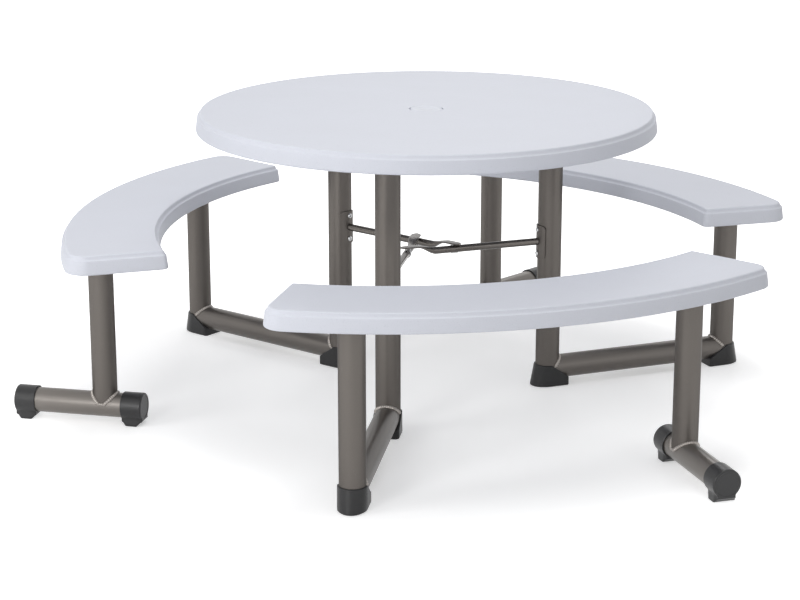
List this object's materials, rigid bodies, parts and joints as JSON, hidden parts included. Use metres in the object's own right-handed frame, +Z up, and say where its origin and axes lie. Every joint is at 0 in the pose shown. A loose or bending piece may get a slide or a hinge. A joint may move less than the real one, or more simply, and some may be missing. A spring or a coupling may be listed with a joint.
{
  "type": "round picnic table with benches",
  "caption": "Round moulded plastic table with curved benches on swivelling steel tube frames, cross braces, black boots and an umbrella hole cap.",
  "frame": {"origin": "middle of the overall box, on the floor", "axes": "+Z up; +X to the right and +Y away, as seen from the front bench"},
  "size_m": [1.9054, 1.8534, 0.725],
  "materials": {
    "plastic": "pale grey speckled moulded polyethylene with a fine pebble grain",
    "cap": "pale grey moulded plastic",
    "frame": "bronze grey powder coat",
    "boot": "black moulded plastic",
    "zinc": "bright zinc plate"
  },
  "bodies": {
    "table": {"table_top": "plastic", "leg_socket_right": "boot", "leg_socket_left": "boot", "leg_socket_front": "boot"},
    "cap": {"umbrella_cap": "cap"},
    "bench_frame_right": {"table_leg_right": "frame", "floor_tube_right": "frame", "bench_leg_right": "frame", "inner_boot_right": "boot", "outer_boot_right": "boot", "outrigger_post_right": "frame", "outrigger_foot_right": "frame", "foot_cap_inner_right": "boot", "foot_cap_outer_right": "boot", "bench_seat_right": "plastic", "bench_leg_plate_right": "frame", "outrigger_plate_right": "frame", "brace_bracket_right": "frame", "bracket_screw_upper_right": "zinc", "bracket_screw_lower_right": "zinc", "brace_right": "frame", "brace_clip_right": "zinc"},
    "bench_frame_left": {"table_leg_left": "frame", "floor_tube_left": "frame", "bench_leg_left": "frame", "inner_boot_left": "boot", "outer_boot_left": "boot", "outrigger_post_left": "frame", "outrigger_foot_left": "frame", "foot_cap_inner_left": "boot", "foot_cap_outer_left": "boot", "bench_seat_left": "plastic", "bench_leg_plate_left": "frame", "outrigger_plate_left": "frame", "brace_bracket_left": "frame", "bracket_screw_upper_left": "zinc", "bracket_screw_lower_left": "zinc", "brace_left": "frame", "brace_clip_left": "zinc"},
    "bench_frame_front": {"table_leg_front": "frame", "floor_tube_front": "frame", "bench_leg_front": "frame", "inner_boot_front": "boot", "outer_boot_front": "boot", "outrigger_post_front": "frame", "outrigger_foot_front": "frame", "foot_cap_inner_front": "boot", "foot_cap_outer_front": "boot", "bench_seat_front": "plastic", "bench_leg_plate_front": "frame", "outrigger_plate_front": "frame", "brace_bracket_front": "frame", "bracket_screw_upper_front": "zinc", "bracket_screw_lower_front": "zinc", "brace_front": "frame", "brace_clip_front": "zinc"}
  },
  "joints": [
    {"name": "cap_lift", "type": "slide", "parent": "table", "child": "cap", "axis": [0, 0, 1], "range_m": [0, 0.06]},
    {"name": "bench_swing_right", "type": "hinge", "parent": "table", "child": "bench_frame_right", "pos_m": [0.35754, 0.03061, 0.685], "axis": [0, 0, 1], "range_deg": [0, 45]},
    {"name": "bench_swing_left", "type": "hinge", "parent": "table", "child": "bench_frame_left", "pos_m": [-0.1714, 0.19031, 0.685], "axis": [0, 0, 1], "range_deg": [0, 45]},
    {"name": "bench_swing_front", "type": "hinge", "parent": "table", "child": "bench_frame_front", "pos_m": [-0.04523, -0.34762, 0.685], "axis": [0, 0, 1], "range_deg": [0, 45]}
  ],
  "couplings": [
    {"joint": "bench_swing_left", "follows": "bench_swing_right", "ratio": 1},
    {"joint": "bench_swing_front", "follows": "bench_swing_right", "ratio": 1}
  ]
}
